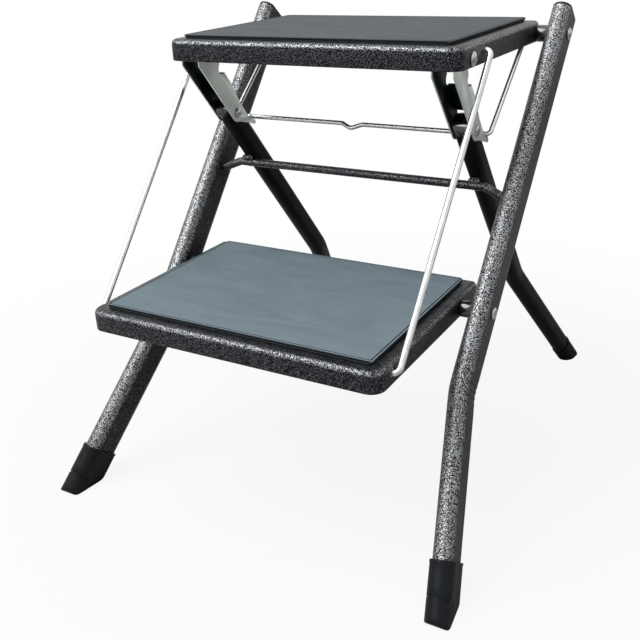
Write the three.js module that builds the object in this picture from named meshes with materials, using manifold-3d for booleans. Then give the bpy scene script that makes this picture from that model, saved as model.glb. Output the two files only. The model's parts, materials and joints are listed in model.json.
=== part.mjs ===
// Folding two-step stool: two pressed steel pans with rubber mats on a frame of flat-oval tube.
// Millimetres, +Z up, the front of the stool faces -Y, left is -X and right is +X.
// The origin is the middle of the whole stool's footprint, on the floor.
import * as THREE from 'three';
import Module from 'manifold-3d';
import { mergeVertices } from 'three/addons/utils/BufferGeometryUtils.js';

// Clearances shared by every fit
const gap = 0.3;
const overrun = 2;
const mergeWithin = 1e-4;

// Step pans, pressed from sheet with a skirt all round
const stepWidth = 319;
const stepDepth = 229;
const skirtHeight = 21;
const panSheet = 1.4;
const panFrontCorner = 14;
const panRearCorner = 5;
const panEdge = 5;
const lowerStepHeight = 228;
const upperStepHeight = 465;
const lowerRearReach = 45.6;
const upperRearReach = 8.5;
const pivotDrop = 12.5;

// Rubber mats on the pans
const matSideMargin = 11.8;
const matFrontMargin = 12.6;
const matRearMargin = 7.5;
const matThickness = 3.3;
const matCorner = 6;
const matBevel = 0.8;

// Front legs: flat-oval tube that leans back and splays out below a bend
const frontLean = 40;
const frontWidth = 20;
const frontDepth = 40;
const frontWall = 1.5;
const frontBendHeight = 153;
const frontSplayAngle = 10.1;
const frontTopReach = 22;
const frontBendRadius = 90;

// Rear legs: narrower flat-oval tube that leans forward and splays out below a bend
const rearLean = 40;
const rearWidth = 19;
const rearDepth = 26;
const rearWall = 1.5;
const rearOffset = 24.8;
const rearBendHeight = 164;
const rearSplayAngle = 11.1;
const rearTopReach = 13.5;
const rearPlugFlange = 2.8;
const rearPivotDown = 188;
const rearBendRadius = 90;

// Plastic plugs, boots and caps on the tube ends
const plugFlange = 2.6;
const plugStem = 12;
const bootWall = 2.3;
const bootLength = 45;
const bootSole = 6;
const bootToe = 7;
const capWall = 2.2;
const capLength = 34;
const capSole = 6;
const capToe = 5;

// Pivots of the two steps: a rivet through the front leg, a spacer and the skirt
const stepRivet = 8;
const stepRivetHead = 12.5;
const stepRivetHeadHeight = 2.6;
const stepRivetTail = 9;
const stepRivetTailHeight = 2.2;
const stepSpacer = 17;
const stepSpacerLength = 13.1;

// Cross rod that joins the rear legs and turns in the front legs
const rodDiameter = 9;
const rodRise = 4;
const rodStraight = 4.1;
const rodBendRun = 9;
const rodBendRadius = 9;
const rodGrip = 3.5;
const weldSize = 4.2;
const weldLength = 13;

// Link rods that keep the two steps parallel
const linkWire = 6;
const linkFrontInset = 26.4;
const linkRise = 2.5;
const linkStandoff = 2.8;
const linkHookReach = 5.6;
const linkBendRadius = 6;

// Latch brackets: a channel under the upper step, open to the front, which carries the rear leg's top
const latchForward = 188.3;
const latchDrop = 1;
const latchSheet = 1.5;
const latchStandoff = 7.3;
const latchWidth = 22.6;
const latchKneeEdge = 9.5;
const latchShoulderDown = 52;
const latchWaistDown = 78;
const latchWaistAcross = -4.5;
const latchTipDown = 116;
const latchTipBelow = 9.2;
const latchTipRadius = 2.4;
const latchHeadRadius = 11.5;
const latchTopRise = 6;
const latchFrontReach = 21;
const latchWebRear = 6.5;
const latchBiteDown = 27.5;
const latchBiteRadius = 6;
const latchRivet = 6;
const latchRivetHead = 12;
const latchRivetHeadHeight = 2.3;
const latchRivetTailHeight = 1.6;
const latchRivetTail = 9;
const latchSpacer = 11;

// Knee pivot where the rear leg's top turns in the latch bracket
const kneePin = 6;
const kneeHead = 11;
const kneeHeadHeight = 1.8;

// Wire bail that locks the latch brackets
const bailWire = 4.8;
const bailDown = 107;
const bailAcross = 0.8;
const bailSideGap = 0.4;
const bailArm = 122;
const bailArmRise = 39.8;
const bailBendRadius = 4.5;
const bailDipHalf = 12;
const bailDip = 6;
const bailDipRadius = 7;
const bailHoleClear = 0.8;

// Angles that the upper step and the rear legs turn through as the stool folds
const foldTurn = 41.5;
const rearTurn = 72;

// Facets: how finely round forms are cut
const ovalSegments = 6;
const cornerSegments = 3;
const wireSides = 10;
const roundSides = 18;
const bendSteps = 4;

// Colours and finishes
const hammertone = new THREE.MeshStandardMaterial({ color: 0x4a4a4c, roughness: 0.35, metalness: 0.6 });
const satinBlack = new THREE.MeshStandardMaterial({ color: 0x1c1c1e, roughness: 0.45, metalness: 0.3 });
const matRubber = new THREE.MeshStandardMaterial({ color: 0x33383f, roughness: 0.85, metalness: 0 });
const bootRubber = new THREE.MeshStandardMaterial({ color: 0x1b1e26, roughness: 0.75, metalness: 0 });
const blackPlastic = new THREE.MeshStandardMaterial({ color: 0x141416, roughness: 0.5, metalness: 0 });
const zincPlate = new THREE.MeshStandardMaterial({ color: 0xb9bdb4, roughness: 0.4, metalness: 0.8 });
const brightWire = new THREE.MeshStandardMaterial({ color: 0xd0d2d4, roughness: 0.2, metalness: 1 });
const rivetSteel = new THREE.MeshStandardMaterial({ color: 0x9a9a9c, roughness: 0.3, metalness: 0.9 });

const wasm = await Module();
wasm.setup();

const radians = (degrees) => THREE.MathUtils.degToRad(degrees);
const flat = (y, z) => new THREE.Vector2(y, z);
const vec = (x, y, z) => new THREE.Vector3(x, y, z);
const at = (x, p) => vec(x, p.x, p.y);
const plus = (p, ...steps) => {
  const sum = p.clone();
  for (const [direction, length] of steps) sum.addScaledVector(direction, length);
  return sum;
};

// The side view holds the whole mechanism: a Vector2 is a place in it, (y, z).
// Each leg has a direction up its axis and one square to it, towards the rear.
const frontUp = flat(Math.sin(radians(frontLean)), Math.cos(radians(frontLean)));
const frontBack = flat(frontUp.y, -frontUp.x);
const rearUp = flat(-Math.sin(radians(rearLean)), Math.cos(radians(rearLean)));
const rearBack = flat(rearUp.y, -rearUp.x);

const onFrontLeg = (height) => flat(0, 0).addScaledVector(frontUp, height / frontUp.y);
const lowerPivot = onFrontLeg(lowerStepHeight - pivotDrop);
const upperPivot = onFrontLeg(upperStepHeight - pivotDrop);
const rearPivot = plus(upperPivot, [frontUp, -rearPivotDown]);
const linkForward = stepDepth - lowerRearReach - linkFrontInset;
const linkOffset = flat(-linkForward, linkRise);
const latchPivot = plus(upperPivot, [flat(-1, 0), latchForward], [flat(0, -1), latchDrop]);

// The knee lies on the rear leg where it is as far from the latch pivot folded as open,
// which fixes its distance along the leg.
function kneeAlongRearLeg(start) {
  const turn = radians(-rearTurn);
  const latchFolded = latchPivot.clone().rotateAround(upperPivot, radians(foldTurn));
  const startFolded = start.clone().rotateAround(rearPivot, turn);
  const upFolded = rearUp.clone().rotateAround(flat(0, 0), turn);
  const open = start.clone().sub(latchPivot);
  const closed = startFolded.clone().sub(latchFolded);
  return (closed.lengthSq() - open.lengthSq()) / (2 * (open.dot(rearUp) - closed.dot(upFolded)));
}
const rearAxisPoint = plus(rearPivot, [rearBack, rearOffset]);
const knee = plus(rearAxisPoint, [rearUp, kneeAlongRearLeg(rearAxisPoint)]);

// Latch bracket's own directions: down its strip and across it, towards the rear
const latchDown = rearUp.clone().negate();
const latchAcross = rearBack;
const onLatch = (down, across) => plus(latchPivot, [latchDown, down], [latchAcross, across]);
const kneeInLatch = knee.clone().sub(latchPivot);
const kneeDown = kneeInLatch.dot(latchDown);
const kneeAcross = kneeInLatch.dot(latchAcross);
const bailCorner = onLatch(bailDown, bailAcross);
const latchTopHeight = latchPivot.y + latchTopRise;

// Planes across the width of the stool
const skirtFace = stepWidth / 2;
const skirtInside = skirtFace - panSheet;
const frontInnerFace = skirtFace + stepSpacerLength;
const frontOuterFace = frontInnerFace + frontWidth;
const frontHalfSpan = frontInnerFace + frontWidth / 2;
const latchOuterFace = skirtInside - latchStandoff;
const latchInnerFace = latchOuterFace - latchWidth;
const latchOuterInside = latchOuterFace - latchSheet;
const latchInnerInside = latchInnerFace + latchSheet;
const rearHalfSpan = (latchOuterFace + latchInnerFace) / 2;
const linkHalfSpan = skirtFace + linkWire / 2 + linkStandoff;
const linkHook = skirtInside - linkHookReach;
const bailHalfSpan = latchOuterFace + bailWire / 2 + bailSideGap;
const rodBendTo = frontInnerFace - rodStraight;
const rodBendFrom = rodBendTo - rodBendRun;

// A three.js geometry as a manifold-3d solid, and back
function solid(geometry) {
  const bare = new THREE.BufferGeometry();
  bare.setAttribute('position', geometry.getAttribute('position'));
  if (geometry.index) bare.setIndex(geometry.index);
  const merged = mergeVertices(bare, mergeWithin);
  return new wasm.Manifold(new wasm.Mesh({
    numProp: 3,
    vertProperties: merged.attributes.position.array,
    triVerts: new Uint32Array(merged.index.array),
  }));
}

function geometryOf(body) {
  const mesh = body.getMesh();
  const geometry = new THREE.BufferGeometry();
  geometry.setAttribute('position', new THREE.BufferAttribute(mesh.vertProperties, mesh.numProp));
  geometry.setIndex(new THREE.BufferAttribute(mesh.triVerts, 1));
  const faceted = geometry.toNonIndexed();
  faceted.computeVertexNormals();
  return faceted;
}

// A closed skin over rings of equal point counts; each ring is a list of Vector3,
// anticlockwise seen from the last ring's end.
function skin(rings) {
  const count = rings[0].length;
  const centres = [rings[0], rings[rings.length - 1]].map((ring) => ring
    .reduce((sum, p) => sum.add(p), vec(0, 0, 0)).divideScalar(count));
  const points = [...rings.flat(), ...centres];
  const index = [];
  for (let r = 0; r + 1 < rings.length; r += 1) {
    for (let i = 0; i < count; i += 1) {
      const j = (i + 1) % count;
      const [a, b, c, d] = [r * count + i, r * count + j, (r + 1) * count + j, (r + 1) * count + i];
      index.push(a, b, c, a, c, d);
    }
  }
  const last = (rings.length - 1) * count;
  for (let i = 0; i < count; i += 1) {
    const j = (i + 1) % count;
    index.push(points.length - 2, j, i, points.length - 1, last + i, last + j);
  }
  const geometry = new THREE.BufferGeometry().setFromPoints(points);
  geometry.setIndex(index);
  return geometry;
}

// Sweeps an outline along a path that lies in one plane; across is that plane's normal,
// and the outline's y runs along it.
function sweep(path, outline, across) {
  const rings = path.map((p, i) => {
    const tangent = vec(0, 0, 0);
    if (i > 0) tangent.add(p.clone().sub(path[i - 1]).normalize());
    if (i + 1 < path.length) tangent.add(path[i + 1].clone().sub(p).normalize());
    tangent.normalize();
    const side = across.clone().cross(tangent).normalize();
    return outline.map((q) => p.clone().addScaledVector(side, q.x).addScaledVector(across, q.y));
  });
  return skin(rings);
}

// A path through corners, each rounded by an arc of its own radius
function roundedPath(corners, radii) {
  const path = [corners[0]];
  for (let i = 1; i + 1 < corners.length; i += 1) {
    const back = corners[i - 1].clone().sub(corners[i]).normalize();
    const on = corners[i + 1].clone().sub(corners[i]).normalize();
    const half = back.angleTo(on) / 2;
    const reach = radii[i - 1] / Math.tan(half);
    const bisector = back.clone().add(on).normalize();
    const centre = corners[i].clone().addScaledVector(bisector, radii[i - 1] / Math.sin(half));
    const from = corners[i].clone().addScaledVector(back, reach).sub(centre);
    const to = corners[i].clone().addScaledVector(on, reach).sub(centre);
    const turn = from.angleTo(to);
    for (let k = 0; k <= bendSteps; k += 1) {
      const share = k / bendSteps;
      const a = Math.sin((1 - share) * turn) / Math.sin(turn);
      const b = Math.sin(share * turn) / Math.sin(turn);
      path.push(centre.clone().addScaledVector(from, a).addScaledVector(to, b));
    }
  }
  path.push(corners[corners.length - 1]);
  return path;
}

// Outlines, anticlockwise
function ovalOutline(width, depth) {
  const radius = width / 2;
  const points = [];
  for (const end of [1, -1]) {
    for (let k = 0; k <= ovalSegments; k += 1) {
      const angle = Math.PI * (k / ovalSegments + (end < 0 ? 1 : 0));
      points.push(flat(radius * Math.cos(angle), radius * Math.sin(angle) + end * (depth / 2 - radius)));
    }
  }
  return points;
}

function roundOutline(radius, sides) {
  return Array.from({ length: sides }, (_, k) => {
    const angle = 2 * Math.PI * k / sides;
    return flat(radius * Math.cos(angle), radius * Math.sin(angle));
  });
}

function rectangleRing(halfWidth, front, rear, frontCorner, rearCorner, z) {
  const corners = [[1, rear], [-1, rear], [-1, front], [1, front]];
  return corners.flatMap(([side, y], quarter) => {
    const corner = y === rear ? rearCorner : frontCorner;
    const middle = vec(side * (halfWidth - corner), y + (y === rear ? -corner : corner), z);
    return Array.from({ length: cornerSegments + 1 }, (_, k) => {
      const angle = Math.PI / 2 * (quarter + k / cornerSegments);
      return middle.clone().add(vec(corner * Math.cos(angle), corner * Math.sin(angle), 0));
    });
  });
}

// A rod across the stool, along X
function crossBar(diameter, from, to, place) {
  const bar = new THREE.CylinderGeometry(diameter / 2, diameter / 2, to - from, roundSides);
  bar.rotateZ(Math.PI / 2);
  bar.translate((from + to) / 2, place.x, place.y);
  return bar;
}

// A turned piece about an axis along X: its profile is a list of [x, radius]
function turned(profile, place) {
  const rising = profile[profile.length - 1][0] > profile[0][0];
  const ordered = rising ? profile : [...profile].reverse();
  const closed = ordered[0][1] > 0 && ordered[ordered.length - 1][1] > 0 ? [...ordered, ordered[0]] : ordered;
  const piece = new THREE.LatheGeometry(closed.map(([x, radius]) => flat(radius, x)), roundSides);
  piece.rotateZ(-Math.PI / 2);
  piece.translate(0, place.x, place.y);
  return piece;
}

// A plate cut from a side-view shape, between two planes across the stool
function plate(shape, from, to) {
  const geometry = new THREE.ExtrudeGeometry(shape, {
    depth: to - from, bevelEnabled: false, curveSegments: roundSides / 2,
  });
  geometry.applyMatrix4(new THREE.Matrix4().makeBasis(vec(0, 1, 0), vec(0, 0, 1), vec(1, 0, 0)));
  geometry.translate(from, 0, 0);
  return geometry;
}

const stool = new THREE.Group();
function add(name, geometry, material) {
  const mesh = new THREE.Mesh(geometry, material);
  mesh.name = name;
  stool.add(mesh);
}

// Mirrors a right-hand piece to the left and adds both
function addPair(name, geometry, material) {
  add(`${name}_right`, geometry, material);
  const mirrored = geometry.index ? geometry.toNonIndexed() : geometry.clone();
  mirrored.scale(-1, 1, 1);
  const place = mirrored.getAttribute('position');
  for (let i = 0; i < place.count; i += 3) {
    const [b, c] = [i + 1, i + 2].map((k) => vec().fromBufferAttribute(place, k));
    place.setXYZ(i + 1, c.x, c.y, c.z);
    place.setXYZ(i + 2, b.x, b.y, b.z);
  }
  mirrored.computeVertexNormals();
  add(`${name}_left`, mirrored, material);
}

// Step pans: a rounded top edge over a straight skirt, hollow from below
function panRings(wall, top, bottom, edge, pan) {
  const ring = (inset, z) => rectangleRing(
    pan.half - inset,
    pan.front + inset,
    pan.rear - inset,
    panFrontCorner - inset,
    panRearCorner - inset,
    z,
  );
  const rings = [ring(wall, bottom)];
  for (let k = 0; k <= cornerSegments; k += 1) {
    const angle = Math.PI / 2 * k / cornerSegments;
    rings.push(ring(wall + edge * (1 - Math.cos(angle)), top - edge * (1 - Math.sin(angle))));
  }
  return rings;
}

function stepPan(pan) {
  const bottom = pan.top - skirtHeight;
  const shell = solid(skin(panRings(0, pan.top, bottom, panEdge, pan)));
  const hollow = skin(panRings(panSheet, pan.top - panSheet, bottom - overrun, panEdge - panSheet, pan));
  let body = shell.subtract(solid(hollow));
  for (const [place, diameter] of pan.holes) {
    const reach = skirtFace + overrun;
    for (const side of [1, -1]) {
      const [from, to] = [side * (skirtInside - overrun), side * reach].sort((a, b) => a - b);
      body = body.subtract(solid(crossBar(diameter, from, to, place)));
    }
  }
  return geometryOf(body);
}

function stepMat(pan) {
  const bottom = pan.top + gap;
  const top = bottom + matThickness;
  const ring = (inset, z) => rectangleRing(
    pan.half - matSideMargin - inset,
    pan.front + matFrontMargin + inset,
    pan.rear - matRearMargin - inset,
    matCorner - inset,
    matCorner - inset,
    z,
  );
  return skin([ring(0, bottom), ring(0, top - matBevel), ring(matBevel, top)]);
}

function panAt(pivot, rearReach, holes) {
  const rear = pivot.x + rearReach;
  return { top: pivot.y + pivotDrop, front: rear - stepDepth, rear, half: stepWidth / 2, holes };
}
const pivotHole = stepRivet + 2 * gap;
const linkHole = linkWire + 2 * gap;
const upperPan = panAt(upperPivot, upperRearReach, [
  [upperPivot, pivotHole],
  [plus(upperPivot, [linkOffset, 1]), linkHole],
  [latchPivot, latchRivet + 2 * gap],
]);
const lowerPan = panAt(lowerPivot, lowerRearReach, [
  [lowerPivot, pivotHole],
  [plus(lowerPivot, [linkOffset, 1]), linkHole],
]);
add('upper_step_pan', stepPan(upperPan), hammertone);
add('upper_step_mat', stepMat(upperPan), matRubber);
add('lower_step_pan', stepPan(lowerPan), hammertone);
add('lower_step_mat', stepMat(lowerPan), matRubber);

// Legs: each runs along its axis in the side view and splays out below its bend.
// A place on a leg is its distance up the axis from the floor.
function legFrame(origin, up, back, halfSpan, bendHeight, splay, bendRadius) {
  const floor = plus(origin, [up, -origin.y / up.y]);
  const bend = bendHeight / up.y;
  const spread = Math.tan(radians(splay));
  const spot = (s) => at(halfSpan + Math.max(0, bend - s) * spread, plus(floor, [up, s]));
  const across = vec(0, back.x, back.y);
  const length = (p) => p.clone().sub(floor).dot(up);
  return { floor, bend, spot, across, up, back, halfSpan, bendRadius, length };
}
const frontLeg = legFrame(
  flat(0, 0), frontUp, frontBack, frontHalfSpan, frontBendHeight, frontSplayAngle, frontBendRadius,
);
const rearLeg = legFrame(
  rearAxisPoint, rearUp, rearBack, rearHalfSpan, rearBendHeight, rearSplayAngle, rearBendRadius,
);

// Sweeps an oval along a leg; past its straight ends the oval runs on in the same line
function onLeg(leg, from, to, width, depth) {
  const corners = [leg.spot(from)];
  const bends = from < leg.bend && to > leg.bend;
  if (bends) corners.push(leg.spot(leg.bend));
  corners.push(leg.spot(to));
  const path = bends ? roundedPath(corners, [leg.bendRadius]) : corners;
  return solid(sweep(path, ovalOutline(width, depth), leg.across));
}

// Cuts away all that lies under the floor
function aboveFloor(body) {
  const reach = stepWidth + stepDepth + lowerStepHeight + upperStepHeight;
  const slab = new THREE.BoxGeometry(reach, reach, reach);
  slab.translate(0, 0, -reach / 2);
  return body.subtract(solid(slab));
}

function tube(leg, from, to, width, depth, wall) {
  const outside = onLeg(leg, from, to, width, depth);
  const inside = onLeg(leg, from - overrun, to + overrun, width - 2 * wall, depth - 2 * wall);
  return outside.subtract(inside);
}

// Lowest place where a square-cut tube clears a sole of this thickness
function cutAbove(leg, depth, sole) {
  return (sole + gap + depth / 2 * Math.abs(leg.across.z)) / leg.up.y;
}

// What a rounded toe takes off a foot: the sharp wedge between the floor and the leaning side
function toeTrim(leg, depth, radius) {
  const side = -Math.sign(leg.up.x);
  const edge = plus(leg.floor, [leg.back, side * depth / 2]);
  const tip = plus(edge, [leg.up, -edge.y / leg.up.y]);
  const inward = flat(-side, 0);
  const half = inward.angleTo(leg.up) / 2;
  const bisector = inward.clone().add(leg.up).normalize();
  const centre = plus(tip, [bisector, radius / Math.sin(half)]);
  const onFloor = plus(tip, [inward, radius / Math.tan(half)]);
  const outside = plus(tip, [bisector, -overrun]);
  const trim = new THREE.Shape();
  const start = onFloor.clone().sub(centre).angle();
  const turn = side * (Math.PI - 2 * half);
  trim.moveTo(outside.x, outside.y);
  trim.lineTo(onFloor.x, onFloor.y);
  trim.absarc(centre.x, centre.y, radius, start, start + turn, turn < 0);
  trim.closePath();
  return solid(plate(trim, 0, leg.halfSpan * 2));
}

// A boot or cap: a sole on the floor with a rounded toe and a socket for the tube
function foot(leg, width, depth, wall, length, sole, toeRadius) {
  const start = cutAbove(leg, depth, sole) - gap;
  const [outerWidth, outerDepth] = [width + 2 * (gap + wall), depth + 2 * (gap + wall)];
  const body = aboveFloor(onLeg(leg, -outerDepth, length, outerWidth, outerDepth))
    .subtract(toeTrim(leg, outerDepth, toeRadius));
  const socket = onLeg(leg, start, length + overrun, width + 2 * gap, depth + 2 * gap);
  return geometryOf(body.subtract(socket));
}

function plug(leg, end, width, depth, wall) {
  const flange = onLeg(leg, end + gap, end + gap + plugFlange, width, depth);
  const inset = 2 * (wall + gap);
  const stem = onLeg(leg, end - plugStem, end + gap + plugFlange / 2, width - inset, depth - inset);
  return geometryOf(flange.add(stem));
}

const frontStart = cutAbove(frontLeg, frontDepth, bootSole);
const frontEnd = frontLeg.length(upperPivot) + frontTopReach;
const outward = frontOuterFace + overrun;
let frontTube = tube(frontLeg, frontStart, frontEnd, frontWidth, frontDepth, frontWall);
for (const pivot of [lowerPivot, upperPivot]) {
  frontTube = frontTube.subtract(solid(crossBar(pivotHole, frontInnerFace - overrun, outward, pivot)));
}
frontTube = frontTube.subtract(
  solid(crossBar(rodDiameter + 2 * gap, frontInnerFace - overrun, frontInnerFace + frontWall + overrun, rearPivot)),
);
addPair('front_leg', geometryOf(frontTube), hammertone);
addPair('front_leg_plug', plug(frontLeg, frontEnd, frontWidth, frontDepth, frontWall), blackPlastic);
addPair('front_boot', foot(
  frontLeg, frontWidth, frontDepth, bootWall, bootLength, bootSole, bootToe,
), bootRubber);

// The rear legs' tops are rounded about the knee in the side view, and so are their plugs
const rearStart = cutAbove(rearLeg, rearDepth, capSole);
const kneeLength = rearLeg.length(knee);
const rearEnd = kneeLength + rearTopReach;
const kneeHole = kneePin + 2 * gap;
const [rearInnerFace, rearOuterFace] = [rearHalfSpan - rearWidth / 2, rearHalfSpan + rearWidth / 2];
const aroundKnee = (radius) => solid(crossBar(2 * radius, rearInnerFace - overrun, rearOuterFace + overrun, knee));
const roundedTop = (body, radius) => {
  const [wide, deep] = [rearWidth + 2 * overrun, rearDepth + 2 * overrun];
  const beyond = onLeg(rearLeg, kneeLength, kneeLength + radius + overrun, wide, deep);
  return body.subtract(beyond.subtract(aroundKnee(radius)));
};
const rearTube = roundedTop(tube(rearLeg, rearStart, rearEnd, rearWidth, rearDepth, rearWall), rearTopReach)
  .subtract(aroundKnee(kneeHole / 2));
addPair('rear_leg', geometryOf(rearTube), satinBlack);

function rearPlug() {
  const plugInside = rearTopReach + gap;
  const plugOutside = plugInside + rearPlugFlange;
  const whole = onLeg(rearLeg, kneeLength, kneeLength + plugOutside, rearWidth, rearDepth);
  const cap = roundedTop(whole, plugOutside).subtract(aroundKnee(plugInside));
  const inset = 2 * (rearWall + gap);
  const stemStart = kneeLength + kneeHole / 2 + gap;
  const stem = onLeg(rearLeg, stemStart, kneeLength + plugInside + gap, rearWidth - inset, rearDepth - inset);
  return geometryOf(cap.add(roundedTop(stem, plugInside + gap)));
}
addPair('rear_leg_plug', rearPlug(), blackPlastic);
addPair('rear_foot_cap', foot(
  rearLeg, rearWidth, rearDepth, capWall, capLength, capSole, capToe,
), bootRubber);

// Step pivots
for (const [name, pivot] of [['upper', upperPivot], ['lower', lowerPivot]]) {
  const tailFace = skirtInside - gap;
  const headFace = frontOuterFace + gap;
  addPair(`${name}_pivot_rivet`, turned([
    [tailFace - stepRivetTailHeight, 0],
    [tailFace - stepRivetTailHeight, stepRivetTail / 2],
    [tailFace, stepRivetTail / 2],
    [tailFace, stepRivet / 2],
    [headFace, stepRivet / 2],
    [headFace, stepRivetHead / 2],
    [headFace + stepRivetHeadHeight / 2, stepRivetHead / 2],
    [headFace + stepRivetHeadHeight, stepRivetHead / 4],
    [headFace + stepRivetHeadHeight, 0],
  ], pivot), rivetSteel);
  addPair(`${name}_pivot_spacer`, turned([
    [skirtFace + gap, pivotHole / 2],
    [skirtFace + gap, stepSpacer / 2],
    [frontInnerFace - gap, stepSpacer / 2],
    [frontInnerFace - gap, pivotHole / 2],
  ], pivot), blackPlastic);
}

// Link rods, hooked into both skirts on each side
const linkTop = plus(upperPivot, [linkOffset, 1]);
const linkBottom = plus(lowerPivot, [linkOffset, 1]);
const linkPath = roundedPath(
  [at(linkHook, linkTop), at(linkHalfSpan, linkTop), at(linkHalfSpan, linkBottom), at(linkHook, linkBottom)],
  [linkBendRadius, linkBendRadius],
);
const linkAcross = at(0, frontBack);
addPair('link_rod', sweep(linkPath, roundOutline(linkWire / 2, wireSides), linkAcross), brightWire);

// Cross rod in front of the rear legs, with its ends bent back to the pivots in the front legs
const rodFace = rearOffset - rearDepth / 2 - gap;
const rodPlace = plus(rearPivot, [rearBack, rodFace - rodDiameter / 2], [rearUp, rodRise]);
const rodEnd = frontInnerFace + rodGrip;
const rodHalf = [at(rodBendFrom, rodPlace), at(rodBendTo, rearPivot), at(rodEnd, rearPivot)];
const mirroredHalf = [...rodHalf].reverse().map((p) => vec(-p.x, p.y, p.z));
const rodBends = Array(rodHalf.length + 1).fill(rodBendRadius);
const rodTurn = rodPlace.clone().sub(rearPivot).normalize();
const rodPath = roundedPath([...mirroredHalf, ...rodHalf], rodBends);
const rodAcross = at(0, flat(-rodTurn.y, rodTurn.x));
add('cross_rod', sweep(rodPath, roundOutline(rodDiameter / 2, wireSides), rodAcross), hammertone);

// Weld beads above and below the rod on each rear leg, filling the corner between leg and rod
for (const [name, side] of [['upper', 1], ['lower', -1]]) {
  const spots = [
    [[rearBack, rodDiameter], [rearUp, side * rodDiameter / 4]],
    [[rearBack, rodDiameter], [rearUp, side * (rodDiameter / 2 + weldSize)]],
    [[rearBack, rodDiameter / 2 - gap], [rearUp, side * (rodDiameter / 2 + weldSize)]],
    [[rearBack, 0], [rearUp, side * (rodDiameter / 2 + weldSize / 4)]],
  ].map((steps) => plus(rodPlace, ...steps));
  const from = rearHalfSpan - weldLength / 2;
  const ordered = side > 0 ? spots : spots.reverse();
  const block = solid(plate(new THREE.Shape(ordered), from, from + weldLength));
  const rodSpace = solid(crossBar(rodDiameter + 2 * gap, from - overrun, from + weldLength + overrun, rodPlace));
  const legSpace = onLeg(rearLeg, rearLeg.bend + overrun, kneeLength, rearWidth + 2 * gap, rearDepth + 2 * gap);
  addPair(`rod_weld_${name}`, geometryOf(block.subtract(rodSpace).subtract(legSpace)), hammertone);
}

// Latch brackets: side-view outline of a cheek, from the top front corner round by the knee.
// Its tip is a hook whose mouth, open to the rear, holds the bail.
function latchShape() {
  const frontEdge = kneeAcross - latchKneeEdge;
  const frontPlane = latchPivot.x - latchFrontReach;
  const cornerDown = (frontPlane - latchPivot.x - latchAcross.x * frontEdge) / latchDown.x;
  const mouth = bailWire / 2 + bailHoleClear;
  const across = Math.atan2(latchAcross.y, latchAcross.x);
  const shape = new THREE.Shape();
  const lineTo = (p) => shape.lineTo(p.x, p.y);
  shape.moveTo(frontPlane, latchTopHeight);
  lineTo(onLatch(cornerDown, frontEdge));
  lineTo(onLatch(kneeDown, frontEdge));
  shape.absarc(knee.x, knee.y, latchKneeEdge, across - Math.PI, across - Math.PI * 2 / 3, false);
  const tip = onLatch(latchTipDown - latchTipRadius, bailAcross - latchTipRadius);
  lineTo(onLatch(bailDown, bailAcross - latchTipBelow));
  shape.absarc(tip.x, tip.y, latchTipRadius, across - Math.PI * 2 / 3, across, false);
  lineTo(onLatch(bailDown + mouth, bailAcross));
  shape.absarc(bailCorner.x, bailCorner.y, mouth, across - Math.PI / 2, across + Math.PI / 2, true);
  lineTo(onLatch(bailDown - 2 * mouth, latchWaistAcross));
  lineTo(onLatch(latchWaistDown, latchWaistAcross));
  lineTo(onLatch(latchShoulderDown, 0));
  const bite = onLatch(latchBiteDown, 0);
  lineTo(plus(bite, [latchDown, latchBiteRadius]));
  const biteStart = Math.atan2(latchDown.y, latchDown.x);
  shape.absarc(bite.x, bite.y, latchBiteRadius, biteStart, biteStart - Math.PI, true);
  const round = Math.acos(latchTopRise / latchHeadRadius);
  shape.absarc(latchPivot.x, latchPivot.y, latchHeadRadius, -Math.PI / 6, Math.PI / 2 - round, false);
  shape.closePath();
  return shape;
}

// A wall of the channel that joins both cheeks, through these places in the side view
function latchWall(places) {
  return solid(plate(new THREE.Shape(places), latchInnerFace, latchOuterFace));
}

function latchBracket() {
  const shape = latchShape();
  const front = latchPivot.x - latchFrontReach;
  const rear = latchPivot.x + latchWebRear;
  const wallStart = latchBiteDown + latchBiteRadius;
  let body = solid(plate(shape, latchOuterInside, latchOuterFace))
    .add(solid(plate(shape, latchInnerFace, latchInnerInside)))
    .add(latchWall([
      flat(front, latchTopHeight - latchSheet),
      flat(rear, latchTopHeight - latchSheet),
      flat(rear, latchTopHeight),
      flat(front, latchTopHeight),
    ]))
    .add(latchWall([
      onLatch(wallStart, -latchSheet),
      onLatch(latchShoulderDown, -latchSheet),
      onLatch(latchShoulderDown, 0),
      onLatch(wallStart, 0),
    ]));
  const [from, to] = [latchInnerFace - overrun, latchOuterFace + overrun];
  for (const [diameter, place] of [[latchRivet + 2 * gap, latchPivot], [kneeHole, knee]]) {
    body = body.subtract(solid(crossBar(diameter, from, to, place)));
  }
  return geometryOf(body);
}
addPair('latch_bracket', latchBracket(), zincPlate);

// Latch rivet through the upper skirt and the outer cheek, with a spacer between them
const tailFace = latchOuterInside - gap;
addPair('latch_rivet', turned([
  [tailFace - latchRivetTailHeight, 0],
  [tailFace - latchRivetTailHeight, latchRivetTail / 2],
  [tailFace, latchRivetTail / 2],
  [tailFace, latchRivet / 2],
  [skirtFace + gap, latchRivet / 2],
  [skirtFace + gap, latchRivetHead / 2],
  [skirtFace + gap + latchRivetHeadHeight / 2, latchRivetHead / 2],
  [skirtFace + gap + latchRivetHeadHeight, latchRivetHead / 4],
  [skirtFace + gap + latchRivetHeadHeight, 0],
], latchPivot), rivetSteel);
addPair('latch_spacer', turned([
  [latchOuterFace + gap, latchRivet / 2 + gap],
  [latchOuterFace + gap, latchSpacer / 2],
  [skirtInside - gap, latchSpacer / 2],
  [skirtInside - gap, latchRivet / 2 + gap],
], latchPivot), rivetSteel);

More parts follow.
